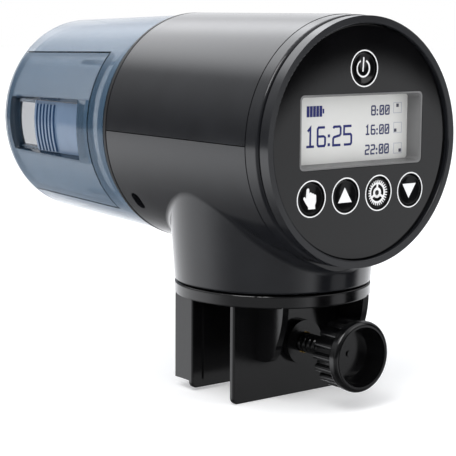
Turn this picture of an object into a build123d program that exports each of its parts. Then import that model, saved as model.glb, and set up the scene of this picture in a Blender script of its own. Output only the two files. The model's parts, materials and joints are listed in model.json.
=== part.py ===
from build123d import *
import math
import os

# Automatic fish feeder.
# The origin is on the swivel axis, on the seat that rests on the tank's rim.
# The face looks along -Y, the food drum is towards +Y and +Z is up.

os.makedirs("parts", exist_ok=True)

# ---------------------------------------------------------------- driving dimensions
AXIS_Z = 48.0              # height of the drum axis above the tank's rim
DOOR_GAP = 0.6             # between the refill door and the drum
PLAY = 0.1                 # clearance between pieces that fit together

FACE_Y = -39.5             # front of the rim round the face
FASCIA_Y = -38.2           # front of the face at its edge, sunk into the rim
RIM_R = 35.0
RIM_LENGTH = 3.4
GROOVE = 0.8               # width and depth of the groove round the bezel
BEZEL_R = 35.3
BEZEL_END = -30.4

HOUSING_R = 35.4
HOUSING_FRONT = -30.15
HOUSING_REAR = 36.6
HOUSING_WALL = 2.0
PARTING = 0.12             # half the parting line between the two shells

NECK_FOOT_R = 29.4
NECK_TOP_R = 31.4
NECK_BOTTOM = 4.7
NECK_TOP = 30.0
NECK_WALL = 2.2
NECK_BLEND = 3.5

FASCIA_R = 32.75
FASCIA_THICK = 2.2
FASCIA_DOME = 0.5          # how far the middle of the face bulges
WINDOW = (44.9, 19.4)
WINDOW_Z = AXIS_Z + 3.5
WINDOW_DEPTH = 4.9
BUTTON_R = 4.5
BUTTON_ROW_Z = AXIS_Z - 14.4
BUTTONS = {
    "power_button": (0.0, AXIS_Z + 20.5),
    "feed_button": (-18.7, BUTTON_ROW_Z),
    "up_button": (-6.2, BUTTON_ROW_Z),
    "set_button": (6.2, BUTTON_ROW_Z),
    "down_button": (18.7, BUTTON_ROW_Z),
}
BOARD_Y = -29.1            # front face of the control board
BOARD_R = 30.0
BOARD_THICK = 1.6
POSTS = [(-19.1, 19.1), (19.1, 19.1), (-12.7, -23.8), (12.7, -23.8)]

CARRIER_R = 35.4
CARRIER_Y = (37.1, 38.3)
SPIGOT_END = 47.0
DRUM_Y = (39.7, 103.0)
DRUM_R = (34.7, 32.5)      # outer radius at the two ends
DRUM_WALL = 1.8
END_THICK = 1.4
DOOR_Y = (49.1, 101.3)
DOOR_ANGLES = (-48.5, 41.5)     # measured from -X, upwards
TRAY_Y = (58.0, 98.0)
TRAY_ANGLES = (-18.3, 11.0)
TRAY_FLOOR_R = 30.0
TRAY_FLOOR_THICK = 1.2
LIP_R = 31.8               # underside of the lips that hold the gate
LIP_ANGLE = 1.4
GATE_Y = (58.2, 85.2)
GATE_THICK = 1.35
OUTLET_Y = (85.8, 97.8)
OUTLET_ANGLES = (-17.5, 10.5)

GEAR_MODULE = 0.8
GEAR_TEETH = 48
PINION_TEETH = 12
GEAR_Y = (26.0, 30.0)
SHAFT_R = 3.0
BRIDGE_Y = (21.4, 23.4)
BULKHEAD_Y = (33.6, 36.3)
BULKHEAD_R = 33.2
BULKHEAD_SCREW_R = 29.6
MOTOR_Z = AXIS_Z + GEAR_MODULE * (GEAR_TEETH + PINION_TEETH) / 2

SOCKET_ANGLE = -37.0
SOCKET_Y = 30.1
SOCKET_HOLE = (6.2, 4.0)   # length round the housing and width along it

CLAMP_R = 29.4             # every part of the clamp lies inside this radius
BRIDGE_TOP = 4.3
BRIDGE_UNDER = 0.6
JAW_HALF = 25.0
JAW_BOTTOMS = (-28.4, -27.5)    # front and rear
FRONT_JAW = (-12.8, -11.0)
REAR_JAW = (6.9, 8.8)
FLANGE_END = 15.3
FLANGE_BOTTOM = -25.2
RIB_X = (14.4, 16.6)
SCREW_Z = -12.6
SCREW_R = 2.9
INSERT_R = 4.6             # across the corners of the nut moulded into the front jaw
INSERT_LENGTH = 3.2
BOSS_LENGTH = 2.4
KNOB_Y = (-40.1, -30.2)
KNOB_R = 10.3
KNOB_RING = 3.0
KNOB_LOBES = 16
PAD_FACE = -7.6
PAD_R = 6.8

HUB_R = 6.05
HUB_TOP = 16.0
NECK_FLOOR = 7.1

DRUM_AXIS = Axis((0, 0, AXIS_Z), (0, 1, 0))
SCREW_AXIS = Axis((0, 0, SCREW_Z), (0, 1, 0))


# ---------------------------------------------------------------- helpers
def write(piece, name):
    """Labels a finished piece and writes its STEP file."""
    piece.part.label = name
    export_step(piece.part, f"parts/{name}.step")


def across(y, z=AXIS_Z):
    """Plane at station y seen from the front: local x is +X and local y is +Z."""
    return Plane(origin=(0, y, z), x_dir=(1, 0, 0), z_dir=(0, -1, 0))


def meridian(angle=90.0, z=AXIS_Z):
    """Plane through an axis along Y: local x is +Y, local y points out at the angle above -X."""
    turn = math.radians(angle)
    return Plane(origin=(0, 0, z), x_dir=(0, 1, 0), z_dir=(math.sin(turn), 0, math.cos(turn)))


def polar(radius, angle):
    """Place in the across plane at a radius and an angle from +X."""
    return radius * math.cos(math.radians(angle)), radius * math.sin(math.radians(angle))


def disc(rear, front, radius, inner=0.0, z=AXIS_Z, mode=Mode.ADD):
    """Round plate or ring about an axis along Y, from the rear station to the front one."""
    with BuildSketch(across(rear, z)) as outline:
        Circle(radius)
        if inner:
            Circle(inner, mode=Mode.SUBTRACT)
    extrude(outline.sketch, amount=rear - front, mode=mode)


def studs(rear, front, places, radius, z=AXIS_Z, mode=Mode.ADD):
    """Round posts or holes at places in the across plane."""
    with BuildSketch(across(rear, z)) as outline:
        with Locations(*places):
            Circle(radius)
    extrude(outline.sketch, amount=rear - front, mode=mode)


def block(low, high, mode=Mode.ADD):
    """Rectangular block between two corners."""
    size = [b - a for a, b in zip(low, high)]
    with BuildSketch(Plane.XY.offset(low[2])) as outline:
        with Locations(((low[0] + high[0]) / 2, (low[1] + high[1]) / 2)):
            Rectangle(size[0], size[1])
    extrude(outline.sketch, amount=size[2], mode=mode)


def drum_radius(y):
    """Outer radius of the tapered food drum at station y."""
    share = (y - DRUM_Y[0]) / (DRUM_Y[1] - DRUM_Y[0])
    return DRUM_R[0] + (DRUM_R[1] - DRUM_R[0]) * share


def sector(stations, outer, inner, angles, mode=Mode.ADD):
    """Part of a ring about the drum axis; outer and inner are radii at the two stations."""
    with BuildSketch(meridian(angles[0])) as outline:
        with BuildLine():
            Polyline(
                (stations[0], inner[0]),
                (stations[0], outer[0]),
                (stations[1], outer[1]),
                (stations[1], inner[1]),
                close=True,
            )
        make_face()
    revolve(outline.sketch, axis=DRUM_AXIS, revolution_arc=angles[1] - angles[0], mode=mode)


def turned(outline, axis=DRUM_AXIS, mode=Mode.ADD):
    """Full revolution of an outline given as (station, radius) points."""
    with BuildSketch(meridian(90.0, axis.position.Z)) as profile:
        with BuildLine():
            Polyline(*outline, close=True)
        make_face()
    revolve(profile.sketch, axis=axis, mode=mode)


def screw_set(name, head_plane, places, head_r, head_h, shank_r, shank_l):
    """Pan-head screws whose heads sit on a plane and whose shanks go down through it."""
    with BuildPart() as group:
        with BuildSketch(head_plane):
            with Locations(*places):
                Circle(head_r)
        extrude(amount=head_h)
        outward = Axis(head_plane.origin, head_plane.z_dir)
        fillet(group.edges().filter_by(GeomType.CIRCLE).group_by(outward)[-1], head_h * 0.4)
        with BuildSketch(head_plane.offset(head_h)):
            with Locations(*places):
                Rectangle(head_r * 1.1, head_r * 0.26)
                Rectangle(head_r * 0.26, head_r * 1.1)
        extrude(amount=-head_h * 0.55, mode=Mode.SUBTRACT)
        with BuildSketch(head_plane):
            with Locations(*places):
                Circle(shank_r)
        extrude(amount=-shank_l)
    write(group, name)


def gear_sketch(teeth, turn):
    """Involute gear outline with stub teeth, one tooth centred at the turn angle."""
    pressure = math.radians(20.0)
    pitch_r = GEAR_MODULE * teeth / 2
    base_r = pitch_r * math.cos(pressure)
    tip_r = pitch_r + 0.7 * GEAR_MODULE
    root_r = pitch_r - 1.0 * GEAR_MODULE
    backlash = 0.14
    half_tooth = (math.pi * GEAR_MODULE / 2 - backlash) / 2 / pitch_r
    start_r = max(base_r, root_r)

    def half_angle(radius):
        slope = math.acos(min(1.0, base_r / radius))
        involute = math.tan(slope) - slope
        return half_tooth + math.tan(pressure) - pressure - involute

    steps = 3
    flank = [start_r + (tip_r - start_r) * k / steps for k in range(steps + 1)]
    rise = [(r, half_angle(r)) for r in flank]
    if root_r < start_r:
        rise.insert(0, (root_r, half_angle(start_r)))
    points = []
    for tooth in range(teeth):
        middle = math.radians(turn) + 2 * math.pi * tooth / teeth
        for radius, angle in rise:
            points.append((radius, middle - angle))
        for radius, angle in reversed(rise):
            points.append((radius, middle + angle))
    with BuildSketch() as outline:
        with BuildLine():
            Polyline(*[(r * math.cos(a), r * math.sin(a)) for r, a in points], close=True)
        make_face()
    return outline.sketch


# ---------------------------------------------------------------- face
def face_front(radius):
    """Station of the bulging face at a distance from the drum axis."""
    return FASCIA_Y - FASCIA_DOME * (1 - (radius / FASCIA_R) ** 2)


def make_front_bezel():
    """Front ring: rounded rim, groove, rounded bezel and the spigot that enters the shells."""
    rim_end = FACE_Y + RIM_LENGTH
    ledge = FASCIA_Y + FASCIA_THICK + PLAY
    seat_r = FASCIA_R + 0.15
    spigot_r = HOUSING_R - HOUSING_WALL - 0.2
    with BuildPart() as front_bezel:
        with BuildSketch(meridian()) as profile:
            with BuildLine():
                Polyline(
                    (FACE_Y, seat_r),
                    (FACE_Y, RIM_R),
                    (rim_end, RIM_R),
                    (rim_end, RIM_R - GROOVE),
                    (rim_end + GROOVE, RIM_R - GROOVE),
                    (rim_end + GROOVE, BEZEL_R),
                    (BEZEL_END, BEZEL_R),
                    (BEZEL_END, spigot_r),
                    (BEZEL_END + 3.9, spigot_r),
                    (BEZEL_END + 3.9, spigot_r - 1.8),
                    (ledge + 1.6, spigot_r - 1.8),
                    (ledge + 1.6, spigot_r - 2.8),
                    (ledge, spigot_r - 2.8),
                    (ledge, seat_r),
                    close=True,
                )
            make_face()
            outer = profile.vertices().group_by(Axis.Y)
            fillet(outer[-1].sort_by(Axis.X)[0], 1.0)
            fillet(outer[-2].sort_by(Axis.X)[0], 1.7)
            fillet(outer[-2].sort_by(Axis.X)[-1], 0.4)
            fillet(profile.vertices().sort_by_distance((FACE_Y, seat_r, 0))[0], 0.35)
        revolve(axis=DRUM_AXIS)
    write(front_bezel, "front_bezel")


def make_fascia_panel():
    """Slightly domed face with the display window, button holes and posts for the board."""
    back = FASCIA_Y + FASCIA_THICK
    with BuildPart() as fascia_panel:
        with BuildSketch(meridian()) as profile:
            with BuildLine():
                Line((back, 0), (back, FASCIA_R))
                Line((back, FASCIA_R), (FASCIA_Y, FASCIA_R))
                ThreePointArc(
                    (FASCIA_Y, FASCIA_R),
                    (face_front(FASCIA_R / 2), FASCIA_R / 2),
                    (face_front(0), 0),
                )
                Line((face_front(0), 0), (back, 0))
            make_face()
            fillet(profile.vertices().group_by(Axis.Y)[-1].sort_by(Axis.X)[0], 0.35)
        revolve(axis=DRUM_AXIS)
        with BuildSketch(across(back)):
            with Locations((0, WINDOW_Z - AXIS_Z)):
                RectangleRounded(WINDOW[0] + 1.2, WINDOW[1] + 1.2, 1.6)
        extrude(amount=FASCIA_THICK + 1, mode=Mode.SUBTRACT)
        places = [(x, z - AXIS_Z) for x, z in BUTTONS.values()]
        studs(back, back - FASCIA_THICK - 1, places, BUTTON_R + 0.15, mode=Mode.SUBTRACT)
        studs(BOARD_Y - 0.05, back, POSTS, 2.4)
        studs(BOARD_Y - 0.05, back - 0.2, POSTS, 1.0, mode=Mode.SUBTRACT)
    write(fascia_panel, "fascia_panel")


def make_display():
    """Pale sloped surround, glass panel and backlight block."""
    front = FASCIA_Y - 0.15
    shoulder = FASCIA_Y + FASCIA_THICK + 0.05
    rear = front + WINDOW_DEPTH
    with BuildPart() as display_surround:
        with BuildSketch(across(front, WINDOW_Z)):
            RectangleRounded(WINDOW[0] + 1.0, WINDOW[1] + 1.0, 1.5)
        extrude(amount=-WINDOW_DEPTH)
        with BuildSketch(across(shoulder, WINDOW_Z)):
            RectangleRounded(WINDOW[0] + 4.0, WINDOW[1] + 3.6, 1.5)
        extrude(amount=shoulder - rear)
        with BuildSketch(across(front, WINDOW_Z)):
            RectangleRounded(WINDOW[0], WINDOW[1], 1.2)
        with BuildSketch(across(rear, WINDOW_Z)):
            RectangleRounded(WINDOW[0] - 1.0, WINDOW[1] - 1.0, 0.8)
        loft(mode=Mode.SUBTRACT)
    write(display_surround, "display_surround")

    with BuildPart() as display_panel:
        with BuildSketch(across(rear + 0.05, WINDOW_Z)):
            Rectangle(WINDOW[0] + 3.0, WINDOW[1] + 2.6)
        extrude(amount=-1.9)
        chamfer(display_panel.edges().filter_by(Axis.Y), 0.4)
    write(display_panel, "display_panel")

    with BuildPart() as display_backlight:
        with BuildSketch(across(rear + 2.0, WINDOW_Z)):
            Rectangle(WINDOW[0] + 2.4, WINDOW[1] + 2.2)
        extrude(amount=-(BOARD_Y - 0.05 - rear - 2.0))
    write(display_backlight, "display_backlight")


def make_buttons():
    """Round dished button caps, each with a collar behind the face and a stem."""
    back = FASCIA_Y + FASCIA_THICK
    for name, (x, z) in BUTTONS.items():
        front = face_front(math.hypot(x, z - AXIS_Z)) + 0.2
        centre = Plane(origin=(x, 0, z), x_dir=(0, 1, 0), z_dir=(1, 0, 0))
        with BuildPart() as button:
            with BuildSketch(centre):
                with BuildLine():
                    ThreePointArc((front + 0.45, 0), (front + 0.3, BUTTON_R * 0.5), (front, BUTTON_R - 0.5))
                    ThreePointArc(
                        (front, BUTTON_R - 0.5),
                        (front + 0.12, BUTTON_R - 0.12),
                        (front + 0.5, BUTTON_R),
                    )
                    Polyline(
                        (front + 0.5, BUTTON_R),
                        (back + 0.15, BUTTON_R),
                        (back + 0.15, BUTTON_R + 0.7),
                        (back + 0.9, BUTTON_R + 0.7),
                        (back + 0.9, 1.8),
                        (back + 2.0, 1.8),
                        (back + 2.0, 0),
                        (front + 0.45, 0),
                    )
                make_face()
            revolve(axis=Axis((x, 0, z), (0, 1, 0)))
        write(button, name)


def make_board():
    """Round control board, its rubber button mats and its screws."""
    with BuildPart() as control_board:
        disc(BOARD_Y + BOARD_THICK, BOARD_Y, BOARD_R)
        studs(BOARD_Y + BOARD_THICK, BOARD_Y, POSTS, 1.3, mode=Mode.SUBTRACT)
        with BuildSketch(across(BOARD_Y + BOARD_THICK)):
            with Locations((0, -6), (-14, -4), (14, 6)):
                Rectangle(9, 7)
        extrude(amount=-1.4)
        with BuildSketch(across(BOARD_Y + BOARD_THICK)):
            with Locations((-10, 12), (0, 14), (10, 14)):
                Rectangle(4, 5)
        extrude(amount=-2.2)
    write(control_board, "control_board")

    sheet = BOARD_Y - 0.05
    with BuildPart() as button_mats:
        with BuildSketch(across(sheet, BUTTON_ROW_Z)):
            RectangleRounded(50, 11.5, 3)
        extrude(amount=0.8)
        disc(sheet, sheet - 0.8, 5.4, z=BUTTONS["power_button"][1])
        for x, z in BUTTONS.values():
            with BuildSketch(Plane(origin=(x, 0, z), x_dir=(0, 1, 0), z_dir=(1, 0, 0))) as dome:
                with BuildLine():
                    Polyline(
                        (sheet - 0.8, 0),
                        (sheet - 0.8, 4.0),
                        (sheet - 2.6, 2.4),
                        (sheet - 4.1, 2.0),
                        (sheet - 4.1, 0),
                        close=True,
                    )
                make_face()
            revolve(dome.sketch, axis=Axis((x, 0, z), (0, 1, 0)))
    write(button_mats, "button_mats")

    rear_of_board = Plane(origin=(0, BOARD_Y + BOARD_THICK, AXIS_Z), x_dir=(1, 0, 0), z_dir=(0, 1, 0))
    places = [(x, -z) for x, z in POSTS]
    screw_set("board_screws", rear_of_board, places, 2.0, 1.4, 0.95, 6.0)


# ---------------------------------------------------------------- housing
def neck_radius(z):
    """Outer radius of the tapered neck at a height."""
    return NECK_FOOT_R + (NECK_TOP_R - NECK_FOOT_R) * (z - NECK_BOTTOM) / (NECK_TOP - NECK_BOTTOM)


def socket_plane(radius):
    """Plane facing out of the charging hole at a distance from the drum axis; local x is +Y."""
    out = meridian(SOCKET_ANGLE).y_dir
    return Plane(origin=(0, SOCKET_Y, AXIS_Z), x_dir=(0, 1, 0), z_dir=out).offset(radius)


def neck_core(bottom, inset):
    """Tapered core of the neck from a height up to the drum axis."""
    with BuildSketch(Plane.XZ) as profile:
        with BuildLine():
            Polyline(
                (0, bottom),
                (neck_radius(bottom) - inset, bottom),
                (neck_radius(AXIS_Z - 12) - inset, AXIS_Z - 12),
                (0, AXIS_Z - 12),
                close=True,
            )
        make_face()
    return profile.sketch


def make_housing():
    """Upper and lower shells; the lower one carries the swivel neck."""
    inner_r = HOUSING_R - HOUSING_WALL
    overrun = 20.0
    hole_plane = socket_plane(inner_r - 3)
    screw_angles = (60, 120, 240, 300)
    bosses = [polar(BULKHEAD_SCREW_R, angle) for angle in screw_angles]
    with BuildPart() as shells:
        disc(HOUSING_REAR, HOUSING_FRONT - overrun, HOUSING_R)
        revolve(neck_core(NECK_BOTTOM, 0.0), axis=Axis.Z)
        seam = shells.edges().filter_by(GeomType.BSPLINE)
        fillet(seam, NECK_BLEND)
        foot = shells.edges().filter_by(GeomType.CIRCLE).sort_by(Axis.Z)[0]
        fillet(foot, 0.7)
        disc(HOUSING_FRONT, HOUSING_FRONT - overrun - 1, HOUSING_R + 20, mode=Mode.SUBTRACT)
        disc(HOUSING_REAR, HOUSING_FRONT, inner_r, mode=Mode.SUBTRACT)
        revolve(neck_core(NECK_FLOOR, NECK_WALL), axis=Axis.Z, mode=Mode.SUBTRACT)
        with BuildSketch(Plane.XY):
            Circle(HUB_R + PLAY)
        extrude(amount=NECK_FLOOR, mode=Mode.SUBTRACT)
        studs(BULKHEAD_Y[0] - 0.05, 24.0, bosses, 4.0)
        studs(BULKHEAD_Y[0] - 0.05, 22.0, bosses, 1.25, mode=Mode.SUBTRACT)
        with BuildSketch(hole_plane):
            SlotOverall(SOCKET_HOLE[0], SOCKET_HOLE[1], rotation=90)
        extrude(amount=10, mode=Mode.SUBTRACT)
    half = 60.0
    with BuildPart() as housing_upper:
        add(shells.part)
        block((-half, -half, -10), (half, half, AXIS_Z + PARTING), mode=Mode.SUBTRACT)
    write(housing_upper, "housing_upper")
    with BuildPart() as housing_lower:
        add(shells.part)
        block((-half, -half, AXIS_Z - PARTING), (half, half, AXIS_Z + half), mode=Mode.SUBTRACT)
    write(housing_lower, "housing_lower")


def make_charging_socket():
    """Charging inlet behind its oval hole in the lower shell."""
    mouth = socket_plane(HOUSING_R - HOUSING_WALL - 0.6)
    with BuildPart() as charging_socket:
        with BuildSketch(mouth):
            Rectangle(6.6, 8.0)
        extrude(amount=-8.5)
        with BuildSketch(mouth):
            Circle(1.8)
        extrude(amount=-6.0, mode=Mode.SUBTRACT)
        with BuildSketch(mouth.offset(-6.0)):
            Circle(0.5)
        extrude(amount=5.2)
    write(charging_socket, "charging_socket")


def make_battery():
    """Lithium cell lying across the neck in a cradle with two legs."""
    centre_y = -8.0
    centre_z = 33.0
    cell_r = 8.2
    half_length = 17.0
    wall = 1.6
    along_x = Plane(origin=(0, centre_y, centre_z), x_dir=(0, 1, 0), z_dir=(1, 0, 0))
    with BuildPart() as battery_cell:
        with BuildSketch(along_x.offset(-half_length)):
            Circle(cell_r)
        extrude(amount=2 * half_length)
        fillet(battery_cell.edges().filter_by(GeomType.CIRCLE), 0.6)
        with BuildSketch(along_x.offset(half_length)):
            Circle(2.8)
        extrude(amount=0.8)
    write(battery_cell, "battery_cell")

    outer = cell_r + wall + PLAY
    with BuildPart() as battery_cradle:
        end_x = half_length + 2.6
        block((-end_x, centre_y - outer, centre_z - outer), (end_x, centre_y + outer, centre_z))
        with BuildSketch(along_x.offset(-half_length - 1.0)):
            Circle(cell_r + PLAY)
        extrude(amount=2 * half_length + 2.0, mode=Mode.SUBTRACT)
        for x in (-13.0, 13.0):
            block((x - 2.5, centre_y - 2.5, NECK_FLOOR), (x + 2.5, centre_y + 2.5, centre_z - outer))
            block((x - 2.5, centre_y - 9.0, NECK_FLOOR), (x + 2.5, centre_y + 2.5, NECK_FLOOR + 1.6))
        with BuildSketch(Plane.XY.offset(NECK_FLOOR)):
            with Locations((-13.0, centre_y - 6.0), (13.0, centre_y - 6.0)):
                Circle(1.2)
        extrude(amount=1.6, mode=Mode.SUBTRACT)
    write(battery_cradle, "battery_cradle")

    ears = [(-13.0, centre_y - 6.0), (13.0, centre_y - 6.0)]
    screw_set("cradle_screws", Plane.XY.offset(NECK_FLOOR + 1.6), ears, 2.0, 1.3, 1.0, 1.6)


# ---------------------------------------------------------------- drive
def make_bulkhead():
    """Rear wall of the housing with posts for the gear bridge, a felt groove and screws."""
    screw_places = [polar(BULKHEAD_SCREW_R, angle) for angle in (60, 120, 240, 300)]
    post_places = [polar(24.5, angle) for angle in (35, 145, 270)]
    with BuildPart() as rear_bulkhead:
        disc(BULKHEAD_Y[1], BULKHEAD_Y[0], BULKHEAD_R)
        disc(BULKHEAD_Y[1], BULKHEAD_Y[0] - 2.5, 8.0)
        studs(BULKHEAD_Y[0], BRIDGE_Y[1] + 0.05, post_places, 2.8)
        studs(BULKHEAD_Y[0], BRIDGE_Y[1], post_places, 1.05, mode=Mode.SUBTRACT)
        disc(BULKHEAD_Y[1] + 1, BULKHEAD_Y[0] - 3, 5.0, mode=Mode.SUBTRACT)
        disc(BULKHEAD_Y[1] + 1, BULKHEAD_Y[1] - 0.9, 26.1, 22.9, mode=Mode.SUBTRACT)
        studs(BULKHEAD_Y[1], BULKHEAD_Y[0], screw_places, 1.6, mode=Mode.SUBTRACT)
        studs(BULKHEAD_Y[1] + 1, BULKHEAD_Y[1] - 1.5, screw_places, 2.9, mode=Mode.SUBTRACT)
    write(rear_bulkhead, "rear_bulkhead")

    seats = Plane(origin=(0, BULKHEAD_Y[1] - 1.5, AXIS_Z), x_dir=(1, 0, 0), z_dir=(0, 1, 0))
    places = [(x, -z) for x, z in screw_places]
    screw_set("bulkhead_screws", seats, places, 2.6, 1.4, 1.2, 9.5)

    with BuildPart() as drum_seal:
        disc(BULKHEAD_Y[1] + 0.4, BULKHEAD_Y[1] - 0.85, 26.0, 23.0)
    write(drum_seal, "drum_seal")


def make_gear_bridge():
    """Inner plate that carries the motor and the front end of the drum's shaft."""
    post_places = [polar(24.5, angle) for angle in (35, 145, 270)]
    motor_place = (0, MOTOR_Z - AXIS_Z)
    ears = [(-9.5, MOTOR_Z - AXIS_Z), (9.5, MOTOR_Z - AXIS_Z)]
    with BuildPart() as gear_bridge:
        disc(BRIDGE_Y[1], BRIDGE_Y[0], 28.0)
        disc(BRIDGE_Y[1], BRIDGE_Y[0], 5.0, mode=Mode.SUBTRACT)
        studs(BRIDGE_Y[1], BRIDGE_Y[0], [motor_place], 3.4, mode=Mode.SUBTRACT)
        studs(BRIDGE_Y[1], BRIDGE_Y[0], post_places, 1.3, mode=Mode.SUBTRACT)
        studs(BRIDGE_Y[1], BRIDGE_Y[0], ears, 0.85, mode=Mode.SUBTRACT)
        studs(BRIDGE_Y[1], BRIDGE_Y[0], [polar(15, a) for a in (0, 180, 225, 315)], 4.0, mode=Mode.SUBTRACT)
    write(gear_bridge, "gear_bridge")
    screw_set("bridge_screws", across(BRIDGE_Y[0]), post_places, 2.1, 1.4, 1.0, 8.0)

    for name, front, rear in (("front_bush", BRIDGE_Y[0] - 0.6, BRIDGE_Y[1] + 0.4),
                              ("rear_bush", BULKHEAD_Y[0] - 3.05, BULKHEAD_Y[1] + 0.25)):
        with BuildPart() as bush:
            disc(rear, front, 4.98, SHAFT_R + 0.05)
            disc(front + 0.5, front, 6.2, SHAFT_R + 0.05)
        write(bush, name)

    gearbox_rear = BRIDGE_Y[0] - 0.05
    with BuildPart() as motor_gearbox:
        with BuildSketch(across(gearbox_rear, MOTOR_Z)):
            Rectangle(12, 10)
        extrude(amount=9.0)
        chamfer(motor_gearbox.edges().filter_by(Axis.Y), 0.6)
    write(motor_gearbox, "motor_gearbox")

    with BuildPart() as drive_motor:
        can_rear = gearbox_rear - 9.05
        with BuildSketch(across(can_rear, MOTOR_Z)):
            Rectangle(12, 10)
        extrude(amount=13.0)
        fillet(drive_motor.edges().filter_by(Axis.Y), 2.4)
        disc(can_rear - 13.0, can_rear - 14.2, 2.5, z=MOTOR_Z)
    write(drive_motor, "drive_motor")

    with BuildPart() as motor_bracket:
        with BuildSketch(across(gearbox_rear, MOTOR_Z)):
            RectangleRounded(24.5, 6.5, 1.5)
        extrude(amount=1.4)
        with BuildSketch(across(gearbox_rear, MOTOR_Z)):
            Rectangle(14.8, 12.2)
        extrude(amount=6.0)
        with BuildSketch(across(gearbox_rear, MOTOR_Z)):
            Rectangle(12.1, 10.1)
        extrude(amount=6.0, mode=Mode.SUBTRACT)
        studs(gearbox_rear, gearbox_rear - 1.4, ears, 1.1, mode=Mode.SUBTRACT)
    write(motor_bracket, "motor_bracket")
    screw_set("motor_screws", across(gearbox_rear - 1.4), ears, 1.7, 1.1, 0.8, 3.0)


def make_gears():
    """Motor pinion with its shaft, drum gear, drum shaft, magnet and its sensor."""
    gear_front, gear_rear = GEAR_Y
    with BuildPart() as motor_pinion:
        with BuildSketch(across(gear_rear + 0.5, MOTOR_Z)):
            add(gear_sketch(PINION_TEETH, 90.0 + 180.0 / PINION_TEETH))
        extrude(amount=gear_rear - gear_front + 1.0)
        disc(gear_front - 0.5, BRIDGE_Y[0] + 0.2, 1.5, z=MOTOR_Z)
        disc(gear_front - 0.5, gear_front - 1.7, 2.6, z=MOTOR_Z)
    write(motor_pinion, "motor_pinion")

    with BuildPart() as drum_gear:
        with BuildSketch(across(gear_rear)):
            add(gear_sketch(GEAR_TEETH, 90.0))
        extrude(amount=gear_rear - gear_front)
        disc(gear_front + 1.2, gear_front, 17.0, 7.5, mode=Mode.SUBTRACT)
        disc(gear_rear + 0.4, gear_front - 1.4, 6.0)
        disc(gear_rear + 1, gear_front - 2, SHAFT_R + 0.02, mode=Mode.SUBTRACT)
        studs(gear_rear + 1, gear_rear - 1.0, [polar(13.5, 200)], 2.05, mode=Mode.SUBTRACT)
    write(drum_gear, "drum_gear")

    with BuildPart() as home_magnet:
        studs(gear_rear + 0.4, gear_rear - 0.95, [polar(13.5, 200)], 2.0)
        chamfer(home_magnet.edges().filter_by(GeomType.CIRCLE), 0.2)
    write(home_magnet, "home_magnet")

    with BuildPart() as home_sensor:
        x, z = polar(13.5, 200)
        with BuildSketch(across(BULKHEAD_Y[0] - 0.05, AXIS_Z + z)):
            with Locations((x, 0)):
                RectangleRounded(9, 6, 0.6)
        extrude(amount=1.0)
        with BuildSketch(across(BULKHEAD_Y[0] - 1.05, AXIS_Z + z)):
            with Locations((x, 0)):
                Rectangle(4, 3)
        extrude(amount=1.0)
    write(home_sensor, "home_sensor")

    with BuildPart() as drive_shaft:
        disc(CARRIER_Y[1] + 3.2, BRIDGE_Y[0] - 0.5, SHAFT_R)
        disc(CARRIER_Y[1] + 4, CARRIER_Y[1] - 9.0, 1.3, mode=Mode.SUBTRACT)
        chamfer(drive_shaft.edges().filter_by(GeomType.CIRCLE).sort_by(Axis.Y)[0], 0.4)
    write(drive_shaft, "drive_shaft")


# ---------------------------------------------------------------- food drum
def make_carrier():
    """Turning disc with the spigot that the food drum pushes on to, and its screw."""
    spigot_r = DRUM_R[0] - DRUM_WALL - 0.3
    with BuildPart() as drum_carrier:
        disc(CARRIER_Y[1], CARRIER_Y[0], CARRIER_R)
        fillet(drum_carrier.edges().filter_by(GeomType.CIRCLE), 0.12)
        turned([
            (CARRIER_Y[1], spigot_r - 1.8),
            (CARRIER_Y[1], spigot_r),
            (SPIGOT_END - 0.8, spigot_r - 0.2),
            (SPIGOT_END, spigot_r - 0.9),
            (SPIGOT_END, spigot_r - 1.8),
        ])
        disc(CARRIER_Y[1] + 3.3, CARRIER_Y[0], 7.0)
        disc(CARRIER_Y[1] + 4, CARRIER_Y[0] - 1, SHAFT_R + 0.02, mode=Mode.SUBTRACT)
    write(drum_carrier, "drum_carrier")
    top = Plane(origin=(0, CARRIER_Y[1] + 3.3, AXIS_Z), x_dir=(1, 0, 0), z_dir=(0, 1, 0))
    screw_set("carrier_screw", top, [(0, 0)], 4.2, 1.8, 1.25, 10.0)


def make_food_drum():
    """Tapered translucent drum with a full end wall and the opening for the refill door."""
    end_y = DRUM_Y[1] - END_THICK
    gap_angle = math.degrees(DOOR_GAP / DRUM_R[1])
    with BuildPart() as food_drum:
        with BuildSketch(meridian()) as profile:
            with BuildLine():
                Polyline(
                    (DRUM_Y[0], DRUM_R[0] - DRUM_WALL),
                    (DRUM_Y[0], DRUM_R[0]),
                    (DRUM_Y[1], DRUM_R[1]),
                    (DRUM_Y[1], 0),
                    (end_y, 0),
                    (end_y, drum_radius(end_y) - DRUM_WALL),
                    close=True,
                )
            make_face()
            fillet(profile.vertices().sort_by(Axis.X)[-2:].sort_by(Axis.Y)[-1], 1.0)
        revolve(axis=DRUM_AXIS)
        opening = (DOOR_Y[0] - DOOR_GAP, end_y)
        sector(
            opening,
            (40.0, 40.0),
            [drum_radius(y) - DRUM_WALL - 1 for y in opening],
            (DOOR_ANGLES[0] - gap_angle, DOOR_ANGLES[1] + gap_angle),
            mode=Mode.SUBTRACT,
        )
    write(food_drum, "food_drum")


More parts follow.
